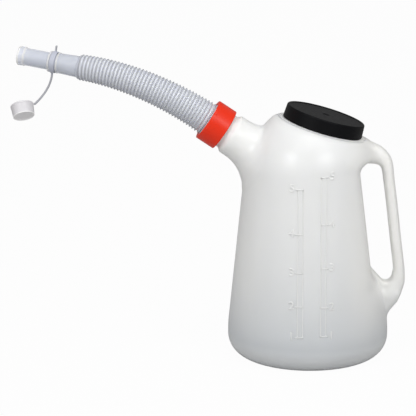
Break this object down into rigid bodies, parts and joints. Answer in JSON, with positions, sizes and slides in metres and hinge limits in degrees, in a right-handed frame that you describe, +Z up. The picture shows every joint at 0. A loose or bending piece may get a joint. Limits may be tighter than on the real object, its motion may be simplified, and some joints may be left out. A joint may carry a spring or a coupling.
{
  "type": "oil measuring jug",
  "caption": "Plastic jug for measuring and pouring engine oil, with a wide screw cap, a hollow side handle, raised scales and a flexible ribbed spout with a tethered tip cap.",
  "frame": {"origin": "centre of the round foot, on the surface that the jug stands on", "axes": "+Z up, the spout points towards -X and the handle is on the +X side, -Y is the side with the scales"},
  "size_m": [0.4634, 0.1882, 0.3646],
  "materials": {
    "body_plastic": "translucent natural polyethylene, satin",
    "black_plastic": "matt black",
    "seal_foam": "pale foamed liner",
    "red_plastic": "smooth orange red",
    "gasket_rubber": "matt black rubber",
    "hose_plastic": "translucent greyish soft polyethylene",
    "strap_plastic": "soft grey",
    "tip_cap_plastic": "white, satin"
  },
  "bodies": {
    "jug": {"jug_body": "body_plastic"},
    "filler_seal": {"filler_cap_seal": "seal_foam"},
    "filler_cap": {"filler_cap": "black_plastic"},
    "spout_seat": {"spout_gasket": "gasket_rubber"},
    "collar": {"spout_collar": "red_plastic"},
    "spout": {"flexible_spout": "hose_plastic"},
    "spout_tip": {"tip_cap_strap": "strap_plastic"},
    "tip_cap": {"tip_cap": "tip_cap_plastic"}
  },
  "joints": [
    {"name": "filler_cap_lift", "type": "slide", "parent": "jug", "child": "filler_seal", "axis": [0.2756, 0, 0.9613], "range_m": [0, 0.0181]},
    {"name": "filler_cap_turn", "type": "hinge", "parent": "filler_seal", "child": "filler_cap", "pos_m": [0.0145, 0, 0.273], "axis": [0.2756, 0, 0.9613], "range_deg": [0, 1080]},
    {"name": "spout_lift", "type": "slide", "parent": "jug", "child": "spout_seat", "axis": [-0.832, 0, 0.5548], "range_m": [0, 0.0181]},
    {"name": "collar_turn", "type": "hinge", "parent": "spout_seat", "child": "collar", "pos_m": [-0.10849, 0, 0.2758], "axis": [-0.832, 0, 0.5548], "range_deg": [0, 1440]},
    {"name": "spout_turn", "type": "hinge", "parent": "spout_seat", "child": "spout", "pos_m": [-0.10849, 0, 0.2758], "axis": [-0.832, 0, 0.5548], "continuous": true},
    {"name": "spout_bend", "type": "hinge", "parent": "spout", "child": "spout_tip", "pos_m": [-0.1894, 0.00444, 0.32019], "axis": [0.1219, 0.9925, 0], "range_deg": [-60, 35], "stiffness_Nm_per_rad": 0.3, "deforming": ["flexible_spout"]},
    {"name": "tip_cap_swing", "type": "hinge", "parent": "spout_tip", "child": "tip_cap", "pos_m": [-0.30797, 0.03051, 0.30999], "axis": [0, 1, 0], "range_deg": [-40, 40], "stiffness_Nm_per_rad": 0.05, "deforming": ["tip_cap_strap"]}
  ],
  "couplings": [
    {"joint": "filler_cap_lift", "follows": "filler_cap_turn", "m_per_rad": 0.00095493},
    {"joint": "spout_lift", "follows": "collar_turn", "m_per_rad": 0.0007162}
  ]
}
